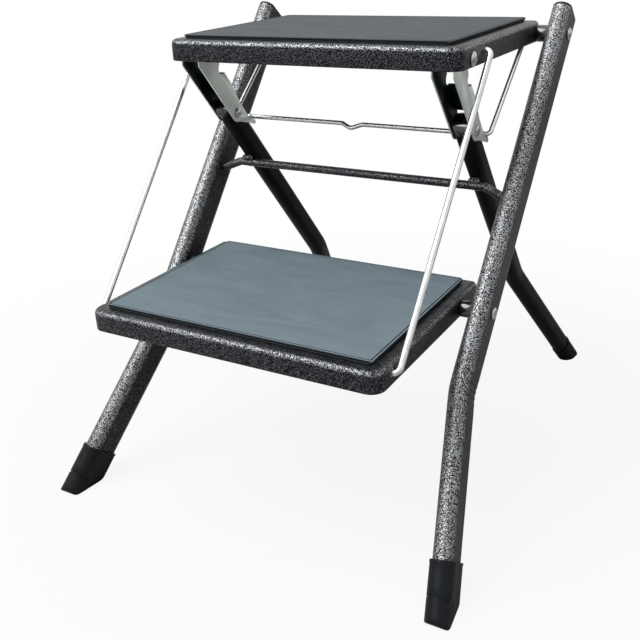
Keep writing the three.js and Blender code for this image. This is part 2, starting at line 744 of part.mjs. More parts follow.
// Knee pivot: a pin in the leg and a rivet head on each cheek
addPair('knee_pin', crossBar(kneePin, rearInnerFace + gap, rearOuterFace - gap, knee), rivetSteel);
const kneeStud = (inside, outside) => {
  const out = Math.sign(outside - inside);
  const face = outside + out * gap;
  return turned([
    [inside + out * gap, 0],
    [inside + out * gap, kneePin / 2],
    [face, kneePin / 2],
    [face, kneeHead / 2],
    [face + out * kneeHeadHeight / 2, kneeHead / 2],
    [face + out * kneeHeadHeight, kneeHead / 4],
    [face + out * kneeHeadHeight, 0],
  ], knee);
};
addPair('knee_rivet_outer', kneeStud(latchOuterInside, latchOuterFace), rivetSteel);
addPair('knee_rivet_inner', kneeStud(latchInnerInside, latchInnerFace), rivetSteel);

// Locking bail: one wire through both brackets' tips, with a finger dip in the middle
const bailUp = flat(Math.cos(radians(bailArmRise)), Math.sin(radians(bailArmRise)));
const bailEnd = plus(bailCorner, [bailUp, bailArm]);
const dipPlace = plus(bailCorner, [bailUp, -bailDip]);
const bailPath = roundedPath([
  at(-bailHalfSpan, bailEnd),
  at(-bailHalfSpan, bailCorner),
  at(-bailDipHalf, bailCorner),
  at(0, dipPlace),
  at(bailDipHalf, bailCorner),
  at(bailHalfSpan, bailCorner),
  at(bailHalfSpan, bailEnd),
], [bailBendRadius, bailDipRadius, bailDipRadius, bailDipRadius, bailBendRadius]);
const bailAcrossPlane = at(0, flat(-bailUp.y, bailUp.x));
add('locking_bail', sweep(bailPath, roundOutline(bailWire / 2, wireSides), bailAcrossPlane), brightWire);

// The origin goes to the middle of the footprint, on the floor
const extent = new THREE.Box3().setFromObject(stool);
const middle = extent.getCenter(vec(0, 0, 0));
for (const mesh of stool.children) mesh.position.set(-middle.x, -middle.y, 0);

export default stool;
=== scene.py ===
"""Looks of a folding two-step stool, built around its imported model.

Metres, +Z up, the front of the stool faces -Y, left is -X and right is +X.
"""

import json
import math

import bmesh
import bpy
import numpy as np
from mathutils import Matrix, Vector


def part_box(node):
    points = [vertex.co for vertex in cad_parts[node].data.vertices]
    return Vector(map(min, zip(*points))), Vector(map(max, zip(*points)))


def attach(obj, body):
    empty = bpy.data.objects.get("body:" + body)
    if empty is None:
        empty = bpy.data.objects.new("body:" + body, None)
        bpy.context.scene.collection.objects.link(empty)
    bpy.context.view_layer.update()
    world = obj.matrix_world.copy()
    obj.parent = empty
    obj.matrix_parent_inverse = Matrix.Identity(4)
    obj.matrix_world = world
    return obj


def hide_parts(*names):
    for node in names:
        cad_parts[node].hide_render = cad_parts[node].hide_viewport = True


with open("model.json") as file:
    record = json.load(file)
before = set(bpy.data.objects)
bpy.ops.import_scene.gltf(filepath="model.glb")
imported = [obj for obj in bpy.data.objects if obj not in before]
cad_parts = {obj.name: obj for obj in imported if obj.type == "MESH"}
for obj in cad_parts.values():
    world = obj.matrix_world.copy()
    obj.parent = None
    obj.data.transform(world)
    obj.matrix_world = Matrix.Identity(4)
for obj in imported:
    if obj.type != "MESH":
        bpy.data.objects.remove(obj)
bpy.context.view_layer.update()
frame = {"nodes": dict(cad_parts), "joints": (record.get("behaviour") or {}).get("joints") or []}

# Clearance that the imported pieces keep
GAP = 0.0003

# Legs: flat-oval tubes that splay out below a bend, the front ones wrinkled at it
LEAN = math.radians(40)
FRONT = {
    "width": 0.020, "depth": 0.040, "wall": 0.0015, "bend_height": 0.153, "splay": math.radians(10.1),
    "wrinkle": 0.0006,
}
REAR = {
    "width": 0.019, "depth": 0.026, "wall": 0.0015, "bend_height": 0.164, "splay": math.radians(11.1),
    "wrinkle": 0.0,
}
BEND_RADIUS = 0.090
FINE_REACH = 0.0256
FRONT_TOP_REACH = 0.022
REAR_TOP_REACH = 0.0135
WRINKLE_PITCH = 0.0065
WRINKLE_REACH = 0.016

# Plugs in the legs' tops
PLUG_EDGE = 0.0007
PLUG_STEM = 0.012
FRONT_PLUG_FLANGE = 0.0026
REAR_PLUG_FLANGE = 0.0028

# Boots and caps; the shares are of a foot's height from the floor to its top, and the last of its lip's
BOOT = {"wall": 0.0023, "length": 0.045, "sole": 0.006, "toe": 0.007, "groove": 0.0015}
CAP = {"wall": 0.0009, "length": 0.034, "sole": 0.006, "toe": 0.006, "groove": 0.0}
FOOT_EDGE = 0.0012
FOOT_LIP = 0.0035
FOOT_RECESS = 0.00035
TOE_SHARES = (0.06, 0.14, 0.22, 0.30, 0.36)
SEAM_SHARES = (0.375, 0.39)
WALL_SHARE = 0.41
LIP_SHARE = 0.4

# Pressed pans and their mats
PAN_SHEET = 0.0014
PAN_FRONT_CORNER = 0.014
PAN_REAR_CORNER = 0.0052
PAN_EDGE = 0.005
PAN_HEM = 0.0006
LEAST_CORNER = 0.0003
MAT_CORNER = 0.006
MAT_EDGE = 0.0009
MAT_CHAMFER = 0.0003
MAT_LIP = 0.0016
MAT_GROOVE = 0.0012
MAT_GROOVE_DEPTH = 0.0011
MAT_UNDERCUT = 0.0012
MAT_UNDERCUT_RISE = 0.0015
# Painted shade: black over the mat's groove and over its edge, out to these shares of its rounded lip on each
# step
MAT_PAINTED_SHADE_NAME = "painted_shade_border"
MAT_PAINTED_SHADE_REACH = {"upper": 0.25, "lower": 0.8}

# Wires and rods
LINK_WIRE = 0.006
LINK_HALF_SPAN = 0.1653
LINK_HOOK = 0.1525
LINK_HOLE = 0.008
LINK_BEND = 0.006
LINK_END_EDGE = 0.00075
ROD = 0.009
ROD_BENDS = (0.1500, 0.1700)
ROD_END = 0.1761
ROD_BEND = 0.009
ROD_END_EDGE = 0.0009
BAIL_WIRE = 0.0048
BAIL_HALF_SPAN = 0.1536
BAIL_BEND = 0.0045
BAIL_DIP_HALF = 0.012
BAIL_DIP = 0.006
BAIL_DIP_BEND = 0.007
BAIL_ARM = 0.122
BAIL_ARM_RISE = math.radians(39.8)
BAIL_END_EDGE = 0.0006

# Latch brackets; the wall's corners are places down and across the bracket
LATCH_SHEET = 0.0015
LATCH_EDGE = 0.00036
LATCH_WALL = [(0.0515, -0.0001), (0.0665, -0.0026), (0.0665, -0.0041), (0.0515, -0.0014)]

# Weld beads between the cross rod and the rear legs
WELD_LENGTH = 0.0125
WELD_RADIUS = 0.0034
WELD_BLUNTNESS = 1.02
WELD_RIPPLES = 5
WELD_RIPPLE = 0.0004

# Rivets and spacers; a dome's face and crown are shares of its radius, its rim one of its height, and its
# bevel one of the rim
STEP_RIVET = {"shank": 0.008, "head": 0.0125, "height": 0.0026, "tail": 0.009, "tail_height": 0.0022}
LATCH_RIVET = {"shank": 0.006, "head": 0.013, "height": 0.0023, "tail": 0.009, "tail_height": 0.0016}
KNEE_RIVET = {"shank": 0.006, "head": 0.011, "height": 0.0018}
DOME = {"face": 0.97, "bevel": 0.3, "rim": 0.28, "crown": 0.93}
TAIL_CHAMFER = 0.2
SPACER_EDGE = 0.0009
SPACER_SOFTENING = 0.3

# Fineness of round forms
END_STEPS = 10
SIDE_STEPS = 6
CORNER_STEPS = 10
EDGE_STEPS = 3
LIP_STEPS = 4
GROOVE_STEPS = 8
RIPPLE_STEPS = 6
WIRE_SIDES = 24
TURNED_SIDES = 40
BEND_STEPS = 12
SHARP = math.radians(38)
FLAT = math.radians(2)

# Painted highlight: the hammered paint's flecks are made more and brighter silver over rounded edges, and
# over the round rod and weld beads
PAINTED_HIGHLIGHT_NAME = "painted_highlight"
PAINTED_HIGHLIGHT_SPREAD = 0.004
EDGE_PAINTED_HIGHLIGHT = 0.8
ROD_PAINTED_HIGHLIGHT = 0.3
WELD_PAINTED_HIGHLIGHT = 1.0

# Stage: the photograph's own view, worked out from the stool's edges in it, its light and its floor
CAMERA_PLACE = (0.438607, -0.831216, 0.560018)
CAMERA_YAW = math.radians(30.823)
CAMERA_PITCH = math.radians(-24.260)
CAMERA_ROLL = math.radians(-2.470)
FOCAL_PIXELS = 863.06
FRAME_PIXELS = 640
SENSOR = 36.0
WORLD_LIGHT = 0.12
LAMPS = {
    "key": {"place": (-0.79, -1.2, 2.17), "size": 1.8, "power": 70},
    "top": {"place": (0.3, 0.4, 2.3), "size": 1.6, "power": 7},
}
LAMP_TARGET = (0.0, 0.0, 0.25)
FLOOR_COLOUR = (0.62, 0.62, 0.62)
FLOOR_FADE = (0.25, 0.85)
FLOOR_LEAST_FADE = 0.9
FLOOR_HALF = 6.0


# Places taken from the frame
def unit(v):
    return v / np.linalg.norm(v)


def middle_of(node):
    low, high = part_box(node)
    return (np.array(low) + np.array(high)) / 2


def side_view(point):
    """The place of a point in the side view: its y and z."""
    return np.array(point)[1:]


def across(x, place):
    """A point at x with a side-view place."""
    return np.array([x, place[0], place[1]])


pivots = {joint["name"]: side_view(joint["pos_m"]) for joint in frame["joints"]}
upper_pivot = pivots["upper_step_hinge"]
lower_pivot = pivots["lower_step_hinge"]
rear_pivot = pivots["rear_legs_hinge"]
latch_pivot = pivots["latch_right_hinge"]
link_top = pivots["link_right_hinge"]
link_bottom = link_top + lower_pivot - upper_pivot
bail_corner = pivots["bail_hinge"]
knee = side_view(middle_of("knee_pin_right"))

front_up = np.array([math.sin(LEAN), math.cos(LEAN)])
front_back = np.array([front_up[1], -front_up[0]])
rear_up = np.array([-math.sin(LEAN), math.cos(LEAN)])
rear_back = np.array([rear_up[1], -rear_up[0]])


def leg_frame(sizes, on_axis, up, back, half_span):
    """A leg's axis in the side view, with distances up it counted from the floor."""
    floor = on_axis - up * on_axis[1] / up[1]
    return {
        **sizes, "floor": floor, "up": up, "back": back, "half_span": half_span,
        "bend": sizes["bend_height"] / up[1],
        "reach": BEND_RADIUS * math.tan(sizes["splay"] / 2),
    }


leg_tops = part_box("upper_pivot_spacer_right")
FRONT_LEG = leg_frame(FRONT, upper_pivot, front_up, front_back, leg_tops[1][0] + GAP + FRONT["width"] / 2)
REAR_LEG = leg_frame(REAR, knee, rear_up, rear_back, middle_of("knee_pin_right")[0])


def length_on(leg, place):
    return float((place - leg["floor"]) @ leg["up"])


def leg_place(leg, s):
    """The leg's x at a distance up its axis, and the angle that it splays there."""
    bend, reach, splay = leg["bend"], leg["reach"], leg["splay"]
    if s >= bend + reach:
        return leg["half_span"], 0.0
    if s <= bend - reach * math.cos(splay):
        return leg["half_span"] + (bend - s) * math.tan(splay), splay
    turn = math.asin((bend + reach - s) / BEND_RADIUS)
    return leg["half_span"] + BEND_RADIUS * (1 - math.cos(turn)), turn


def leg_point(leg, s, x, q):
    """A point at x and q of the leg's oval, on the ring at s."""
    centre, turn = leg_place(leg, s)
    place = leg["floor"] + leg["up"] * (s + x * math.sin(turn)) + leg["back"] * q
    return across(centre + x * math.cos(turn), place)


# Outlines and rings
def quarter(steps):
    """Cosines and sines of even steps through a quarter turn."""
    turns = [math.pi / 2 * k / steps for k in range(steps + 1)]
    return [(math.cos(turn), math.sin(turn)) for turn in turns]


def oval(width, depth):
    """An oval's outline from its front end up its right side to its rear, then back by its left."""
    radius = width / 2
    straight = depth / 2 - radius
    right = [(radius * sine, -radius * cosine - straight) for cosine, sine in quarter(END_STEPS)]
    for k in range(1, SIDE_STEPS):
        right.append((radius, straight * (2 * k / SIDE_STEPS - 1)))
    right += [(radius * cosine, radius * sine + straight) for cosine, sine in quarter(END_STEPS)]
    left = [(-x, q) for x, q in right[-2:0:-1]]
    right[-1] = (0.0, right[-1][1])
    return np.array(right + left)


def circle(radius, sides):
    angles = np.arange(sides) * 2 * math.pi / sides
    return np.stack([radius * np.cos(angles), radius * np.sin(angles)], 1)


def leg_ring(leg, outline, level):
    """The ring of an outline on a leg; level is a distance up it, or a function of x and q."""
    ring = []
    for x, q in outline:
        s = level(x, q) if callable(level) else level
        ring.append(leg_point(leg, s, x, q))
    return np.array(ring)


def rectangle_ring(plate, inset, z, front_corner, rear_corner):
    """A rounded rectangle's ring at height z, drawn in by inset."""
    ring = []
    for turns, (side, at_rear) in enumerate([(1, True), (-1, True), (-1, False), (1, False)]):
        corner = rear_corner if at_rear else front_corner
        radius = max(corner - inset, LEAST_CORNER)
        y = plate["rear"] - inset - radius if at_rear else plate["front"] + inset + radius
        x = side * (plate["half"] - inset - radius)
        for k in range(CORNER_STEPS + 1):
            angle = math.pi / 2 * (turns + k / CORNER_STEPS)
            ring.append((x + radius * math.cos(angle), y + radius * math.sin(angle), z))
    return np.array(ring)


def rounded_path(corners, radii):
    """A path through corners, each rounded by an arc of its own radius."""
    path = [corners[0]]
    for before, corner, after, radius in zip(corners, corners[1:], corners[2:], radii):
        back, on = unit(before - corner), unit(after - corner)
        half = math.acos(float(np.clip(back @ on, -1, 1))) / 2
        centre = corner + unit(back + on) * radius / math.sin(half)
        start = corner + back * radius / math.tan(half) - centre
        end = corner + on * radius / math.tan(half) - centre
        turn = math.pi - 2 * half
        for k in range(BEND_STEPS + 1):
            share = k / BEND_STEPS
            a = math.sin((1 - share) * turn) / math.sin(turn)
            b = math.sin(share * turn) / math.sin(turn)
            path.append(centre + start * a + end * b)
    path.append(corners[-1])
    return path


def sweep(path, diameter, normal, edge):
    """Rings of a round wire along a path in one plane, with the edges of both ends rounded off."""
    outline = circle(diameter / 2, WIRE_SIDES)
    rings = []
    last = len(path) - 1
    for i, point in enumerate(path):
        tangent = np.zeros(3)
        if i > 0:
            tangent += unit(point - path[i - 1])
        if i < last:
            tangent += unit(path[i + 1] - point)
        tangent = unit(tangent)
        side = unit(np.cross(normal, tangent))
        shape = np.array([side * x + normal * y for x, y in outline])
        if 0 < i < last:
            rings.append(point + shape)
            continue
        outward = tangent if i == last else -tangent
        end = []
        for cosine, sine in quarter(EDGE_STEPS):
            scale = 1 - edge * (1 - cosine) / (diameter / 2)
            end.append(point + outward * edge * (sine - 1) + shape * scale)
        rings += end if i == last else end[::-1]
    return rings


# Meshes
def faces_between(count, rings, loop=False):
    faces = []
    for r in range(rings if loop else rings - 1):
        for i in range(count):
            j = (i + 1) % count
            below, above = r * count, (r + 1) % rings * count
            faces.append((below + i, below + j, above + j, above + i))
    return faces


def strip_cap(count, first):
    """Faces across a ring that is the same on its left and right, from front to rear."""
    faces = []
    for i in range(count // 2):
        corners = [i, i + 1, (count - i - 1) % count, (count - i) % count]
        distinct = list(dict.fromkeys(corners))
        faces.append(tuple(first + c for c in distinct))
    return faces


def placed(name, mesh):
    """An object for a mesh, in the scene."""
    thing = bpy.data.objects.new(name, mesh)
    bpy.context.scene.collection.objects.link(thing)
    return thing


def shade(mesh):
    mesh.shade_smooth()
    mesh.set_sharp_from_angle(angle=SHARP)


def tidy(name, mesh):
    """Merges doubled points, turns faces outward and shades the mesh; gives its object."""
    work = bmesh.new()
    work.from_mesh(mesh)
    bmesh.ops.remove_doubles(work, verts=work.verts, dist=GAP / 100)
    bmesh.ops.dissolve_degenerate(work, edges=work.edges, dist=GAP / 100)
    bmesh.ops.recalc_face_normals(work, faces=work.faces)
    work.to_mesh(mesh)
    work.free()
    shade(mesh)
    return placed(name, mesh)


def shaped(name, rings, faces):
    """A mesh object with the rings' points and these faces."""
    mesh = bpy.data.meshes.new(name)
    mesh.from_pydata([tuple(p) for p in np.concatenate(rings)], [], faces)
    return tidy(name, mesh)


def build(name, rings, loop=False, strips=False):
    """A closed mesh object over rings of equal counts."""
    count = len(rings[0])
    faces = faces_between(count, len(rings), loop)
    if not loop:
        for first in (0, count * (len(rings) - 1)):
            if strips:
                faces += strip_cap(count, first)
            else:
                faces.append(tuple(range(first, first + count)))
    return shaped(name, rings, faces)


def bars(places, from_x, to_x):
    """One mesh object of round bars along X; places lists each bar's side-view place and diameter."""
    work = bmesh.new()
    turn = Matrix.Rotation(math.pi / 2, 4, "Y")
    for place, diameter in places:
        for side in (1, -1):
            at = Matrix.Translation((side * (from_x + to_x) / 2, place[0], place[1]))
            bmesh.ops.create_cone(
                work, cap_ends=True, segments=TURNED_SIDES, radius1=diameter / 2, radius2=diameter / 2,
                depth=to_x - from_x, matrix=at @ turn,
            )
    mesh = bpy.data.meshes.new("cutter")
    work.to_mesh(mesh)
    work.free()
    return placed("cutter", mesh)


def drill(thing, places, from_x, to_x):
    """Cuts round holes along X on both sides of the stool."""
    cutter = bars(places, from_x, to_x)
    cut = thing.modifiers.new("holes", "BOOLEAN")
    cut.operation = "DIFFERENCE"
    cut.solver = "EXACT"
    cut.object = cutter
    graph = bpy.context.evaluated_depsgraph_get()
    made = bpy.data.meshes.new_from_object(thing.evaluated_get(graph))
    thing.modifiers.clear()
    thing.data = made
    shade(made)
    bpy.data.objects.remove(cutter)


def mirrored(rings):
    return [ring * np.array([-1, 1, 1]) for ring in rings]


def dress(thing, body, material, node):
    """Gives a piece its material, its body and the node that it stands for."""
    thing.data.materials.clear()
    thing.data.materials.append(material)
    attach(thing, body)
    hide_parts(node)
    return thing


def pair(name, rings, body, slot, material, node, **how):
    """A right-hand piece and its mirror image on the left; body may name the side that it is on."""
    things = []
    for side, its_rings in (("right", rings), ("left", mirrored(rings))):
        thing = build(f"{name}_{side}", its_rings, **how)
        things.append(dress(thing, body.format(side=side), material, f"{node}_{side}"))
    return things


def mark(thing, name, value):
    """Keeps a number on each vertex for the material to read; value gives it for a place."""
    marks = thing.data.attributes.new(name, "FLOAT", "POINT")
    for vertex, entry in zip(thing.data.vertices, marks.data):
        entry.value = value(vertex.co)


# Materials
class Nodes:
    """A material's node tree, with short calls for the nodes used here."""

    def __init__(self, name):
        self.material = bpy.data.materials.new(name)
        self.material.use_nodes = True
        self.tree = self.material.node_tree
        self.shader = self.tree.nodes["Principled BSDF"]
        self.place = self.tree.nodes.new("ShaderNodeTexCoord").outputs["Object"]

    def add(self, kind, **settings):
        node = self.tree.nodes.new(kind)
        for key, value in settings.items():
            setattr(node, key, value)
        return node

    def link(self, source, target):
        self.tree.links.new(source, target)

    def noise(self, scale, detail, roughness=0.5, distortion=0.0, stretch=None):
        node = self.add("ShaderNodeTexNoise")
        node.inputs["Scale"].default_value = scale
        node.inputs["Detail"].default_value = detail
        node.inputs["Roughness"].default_value = roughness
        node.inputs["Distortion"].default_value = distortion
        self.link(self.stretched(stretch) if stretch else self.place, node.inputs["Vector"])
        return node.outputs["Fac"]

    def stretched(self, shares):
        mapping = self.add("ShaderNodeMapping")
        mapping.inputs["Scale"].default_value = shares
        self.link(self.place, mapping.inputs["Vector"])
        return mapping.outputs["Vector"]

    def cells(self, scale, smoothness):
        node = self.add("ShaderNodeTexVoronoi", feature="SMOOTH_F1")
        node.inputs["Scale"].default_value = scale
        node.inputs["Smoothness"].default_value = smoothness
        self.link(self.place, node.inputs["Vector"])
        return node.outputs["Distance"]

    def marks(self, name):
        """What mark() kept on the vertices under this name."""
        return self.add("ShaderNodeAttribute", attribute_name=name).outputs["Fac"]

    def ramp(self, value, *stops, ease="LINEAR"):
        """Two stops, each a spot and its grey or colour."""
        node = self.add("ShaderNodeValToRGB")
        node.color_ramp.interpolation = ease
        for element, (spot, colour) in zip(node.color_ramp.elements, stops):
            element.position = spot
            element.color = (*colour, 1) if isinstance(colour, tuple) else (colour, colour, colour, 1)
        self.link(value, node.inputs["Fac"])
        return node.outputs["Color"]

    def blend(self, share, first, second):
        node = self.add("ShaderNodeMix", data_type="RGBA")
        self.link(share, node.inputs["Factor"])
        for source, socket in ((first, node.inputs[6]), (second, node.inputs[7])):
            if isinstance(source, tuple):
                socket.default_value = (*source, 1)
            else:
                self.link(source, socket)
        return node.outputs[2]

    def sum(self, first, second, share):
        """The first value and a share of the second."""
        node = self.add("ShaderNodeMath", operation="MULTIPLY_ADD")
        self.link(second, node.inputs[0])
        node.inputs[1].default_value = share
        self.link(first, node.inputs[2])
        return node.outputs[0]

    def open_sky(self, distance):
        """1 where the piece's own surface is open, falling to 0 where it closes itself in."""
        node = self.add("ShaderNodeAmbientOcclusion", samples=8, only_local=True)
        node.inputs["Distance"].default_value = distance
        return node.outputs["AO"]

    def bump(self, height, distance, strength):
        node = self.add("ShaderNodeBump")
        node.inputs["Strength"].default_value = strength
        node.inputs["Distance"].default_value = distance
        self.link(height, node.inputs["Height"])
        self.link(node.outputs["Normal"], self.shader.inputs["Normal"])

    def colour(self, source):
        self.link(source, self.shader.inputs["Base Color"])

    def rough(self, source):
        self.link(source, self.shader.inputs["Roughness"])

    def set(self, **values):
        for key, value in values.items():
            self.shader.inputs[key.replace("_", " ")].default_value = value


def hammertone():
    """Black hammered paint with silver flecks that run into short worms, with a painted highlight that makes
    the flecks more and brighter over rounded edges.
    """
    n = Nodes("hammertone_paint")
    worms = n.noise(980, detail=0.6, distortion=0.9)
    height = n.sum(worms, n.cells(1150, 0.5), 0.35)
    # Painted highlight: the marked share adds flecks and turns them from dull to bright silver
    painted_highlight = n.marks(PAINTED_HIGHLIGHT_NAME)
    flecks = n.ramp(n.sum(height, painted_highlight, 0.03), (0.65, 0.0), (0.84, 1.0), ease="EASE")
    silver = n.blend(painted_highlight, (0.125, 0.130, 0.142), (0.40, 0.41, 0.42))
    n.colour(n.blend(flecks, (0.007, 0.0075, 0.009), silver))
    n.rough(n.ramp(flecks, (0.0, 0.38), (1.0, 0.44)))
    n.bump(height, 0.0005, 0.6)
    n.set(Metallic=0.97, Specular_IOR_Level=0.15)
    return n.material


def satin_black():
    """Smooth black powder coat with a faint orange peel."""
    n = Nodes("satin_black_paint")
    peel = n.noise(520, detail=2)
    drift = n.noise(14, detail=3)
    n.colour(n.ramp(drift, (0.35, 0.004), (0.7, 0.007)))
    n.rough(n.ramp(peel, (0.3, 0.34), (0.7, 0.46)))
    n.bump(peel, 0.0002, 0.35)
    n.set(Specular_IOR_Level=0.08)
    return n.material


def mat_rubber(name, light, dark):
    """Slate grey rubber with a soft bloom and faint smears, painted black in its groove and on its sides as
    painted shade.
    """
    n = Nodes(name)
    smears = n.noise(9, detail=4, roughness=0.6, distortion=1.5, stretch=(1.0, 3.0, 1.0))
    grain = n.noise(900, detail=2)
    slate = n.ramp(smears, (0.3, dark), (0.7, light))
    n.colour(n.blend(n.marks(MAT_PAINTED_SHADE_NAME), slate, (0.008, 0.010, 0.012)))
    n.rough(n.ramp(grain, (0.3, 0.60), (0.7, 0.76)))
    n.bump(grain, 0.00015, 0.4)
    n.set(Specular_IOR_Level=0.12)
    return n.material


def foot_rubber(name, dark, light, gloss):
    """Matt blue-black rubber."""
    n = Nodes(name)
    bloom = n.noise(35, detail=3)
    grain = n.noise(1100, detail=2)
    n.colour(n.ramp(bloom, (0.3, dark), (0.75, light)))
    n.rough(n.ramp(grain, (0.3, 0.36), (0.7, 0.48)))
    n.bump(grain, 0.00012, 0.4)
    n.set(Specular_IOR_Level=gloss)
    return n.material


def black_plastic(name, smooth, rough, gloss):
    """Smooth moulded black plastic."""
    n = Nodes(name)
    drift = n.noise(60, detail=2)
    n.colour(n.ramp(drift, (0.3, (0.007, 0.007, 0.008)), (0.7, (0.013, 0.013, 0.014))))
    n.rough(n.ramp(drift, (0.3, smooth), (0.7, rough)))
    n.set(Specular_IOR_Level=gloss)
    return n.material


def zinc_plate():
    """Zinc-plated sheet: pale grey-green, finely brushed and clouded, with painted shade that turns it near
    black where it closes itself in.
    """
    n = Nodes("zinc_plate")
    brushing = n.noise(160, detail=3, stretch=(1.0, 1.0, 8.0))
    clouds = n.noise(45, detail=3)
    plate = n.ramp(clouds, (0.3, (0.68, 0.72, 0.67)), (0.7, (0.86, 0.90, 0.84)))
    # Painted shade: ambient occlusion darkens the plate where it is closed in
    out_of_painted_shade = n.ramp(n.open_sky(0.030), (0.72, 0.0), (0.97, 1.0), ease="EASE")
    n.colour(n.blend(out_of_painted_shade, (0.014, 0.020, 0.021), plate))
    n.rough(n.ramp(brushing, (0.3, 0.38), (0.7, 0.52)))
    n.bump(brushing, 0.0001, 0.25)
    n.set(Metallic=0.75)
    return n.material


def bright_wire():
    """Bright zinc-plated wire with faint drawing marks."""
    n = Nodes("bright_wire")
    marks = n.noise(240, detail=2, stretch=(1.0, 1.0, 0.15))
    n.colour(n.ramp(marks, (0.3, (0.55, 0.56, 0.57)), (0.7, (0.70, 0.71, 0.72))))
    n.rough(n.ramp(marks, (0.3, 0.24), (0.7, 0.34)))
    n.set(Metallic=1.0)
    return n.material


def rivet_steel():
    """Plated rivets, slightly dulled."""
    n = Nodes("rivet_steel")
    dull = n.noise(380, detail=3)
    n.colour(n.ramp(dull, (0.3, (0.38, 0.38, 0.38)), (0.7, (0.58, 0.57, 0.56))))
    n.rough(n.ramp(dull, (0.3, 0.20), (0.7, 0.34)))
    n.bump(dull, 0.0002, 0.3)
    n.set(Metallic=1.0)
    return n.material


PAINT = hammertone()
BLACK_PAINT = satin_black()
MATS = {
    # The upper mat is the same rubber painted darker: painted shade
    "upper": mat_rubber("painted_shade_mat_rubber", (0.082, 0.092, 0.097), (0.062, 0.071, 0.075)),
    "lower": mat_rubber("mat_rubber", (0.180, 0.226, 0.254), (0.142, 0.182, 0.207)),
}
BOOT_RUBBER = foot_rubber("boot_rubber", (0.002, 0.003, 0.004), (0.005, 0.007, 0.010), 0.16)
CAP_RUBBER = foot_rubber("cap_rubber", (0.002, 0.002, 0.003), (0.004, 0.004, 0.005), 0.05)
PLASTIC = black_plastic("black_plastic", 0.20, 0.30, 0.25)
GLOSSY_PLASTIC = black_plastic("glossy_black_plastic", 0.10, 0.16, 0.9)
ZINC = zinc_plate()
WIRE = bright_wire()
STEEL = rivet_steel()


# Pans and mats
def plate_sizes(node):
    low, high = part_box(node)
    return {"half": high[0], "front": low[1], "rear": high[1], "bottom": low[2], "top": high[2]}


def pan_rings(pan):
    """Outside of the skirt, over the rounded edge, then the inside back down to the hem."""
    def ring(inset, z):
        return rectangle_ring(pan, inset, z, PAN_FRONT_CORNER, PAN_REAR_CORNER)

    outside, inside = [], []
    for cosine, sine in quarter(EDGE_STEPS):
        outside.append(ring(PAN_HEM * (1 - sine), pan["bottom"] + PAN_HEM * (1 - cosine)))
    for cosine, sine in quarter(CORNER_STEPS):
        outside.append(ring(PAN_EDGE * (1 - cosine), pan["top"] - PAN_EDGE * (1 - sine)))
    edge = PAN_EDGE - PAN_SHEET
    for cosine, sine in reversed(quarter(CORNER_STEPS)):
        inside.append(ring(PAN_SHEET + edge * (1 - cosine), pan["top"] - PAN_SHEET - edge * (1 - sine)))
    inside.append(ring(PAN_SHEET, pan["bottom"]))
    return outside, inside


def step_pan(level, holes):
    node = f"{level}_step_pan"
    pan = plate_sizes(node)
    outside, inside = pan_rings(pan)
    count = len(outside[0])
    top = len(outside) * count
    last = top + (len(inside) - 1) * count
    faces = faces_between(count, len(outside))
    faces += [tuple(top + i for i in face) for face in faces_between(count, len(inside))]
    faces += [(i, (i + 1) % count, last + (i + 1) % count, last + i) for i in range(count)]
    faces += [tuple(range(top - count, top)), tuple(range(top, top + count))]
    thing = shaped(f"{node}_pressing", outside + inside, faces)
    drill(thing, holes, pan["half"] - PAN_SHEET * 3, pan["half"] + PAN_SHEET)

    # Painted highlight along the pan's rounded top edge, strongest halfway down its rounding
    def edge_painted_highlight(place):
        rise = float(np.clip(1 - (pan["top"] - place[2]) / PAN_EDGE, 0, 1))
        return EDGE_PAINTED_HIGHLIGHT * math.sin(math.pi * rise)

    mark(dress(thing, f"{level}_step", PAINT, node), PAINTED_HIGHLIGHT_NAME, edge_painted_highlight)


def step_mat(level):
    """A mat with a rounded lip all round and a narrow groove inside it."""
    node = f"{level}_step_mat"
    mat = plate_sizes(node)
    rim = mat["bottom"] + MAT_UNDERCUT_RISE
    inner = MAT_EDGE + MAT_LIP

    def ring(inset, z):
        return rectangle_ring(mat, inset, z, MAT_CORNER, MAT_CORNER)

    rings = [ring(MAT_UNDERCUT, mat["bottom"]), ring(MAT_UNDERCUT, rim)]
    rings += [ring(MAT_CHAMFER, rim), ring(0, rim + MAT_CHAMFER)]
    for cosine, sine in quarter(LIP_STEPS):
        rings.append(ring(MAT_EDGE * (1 - cosine), mat["top"] - MAT_EDGE * (1 - sine)))
    for k in range(GROOVE_STEPS + 1):
        share = k / GROOVE_STEPS
        dip = MAT_GROOVE_DEPTH * math.sin(math.pi * share)
        rings.append(ring(inner + MAT_GROOVE * share, mat["top"] - dip))

    # Painted shade: black in the groove and round the edge
    def painted_shade_border(place):
        x, y, _ = place
        inset = min(mat["half"] - abs(x), y - mat["front"], mat["rear"] - y)
        at_edge = inset < MAT_PAINTED_SHADE_REACH[level] * MAT_EDGE
        in_groove = inner + GAP * 0.2 < inset < inner + MAT_GROOVE - GAP * 0.3
        return float(at_edge or in_groove)

    thing = dress(build(f"{node}_rubber", rings), f"{level}_step", MATS[level], node)
    mark(thing, MAT_PAINTED_SHADE_NAME, painted_shade_border)


step_pan("upper", [
    (upper_pivot, STEP_RIVET["shank"] + 2 * GAP), (link_top, LINK_HOLE),
    (latch_pivot, LATCH_RIVET["shank"] + 2 * GAP),
])
step_pan("lower", [(lower_pivot, STEP_RIVET["shank"] + 2 * GAP), (link_bottom, LINK_HOLE)])
step_mat("upper")
step_mat("lower")


# Legs
def square_cut(leg, depth, sole):
    """Lowest place where a square-cut tube clears a sole of this thickness."""
    return (sole + GAP + depth / 2 * abs(leg["back"][1])) / leg["up"][1]


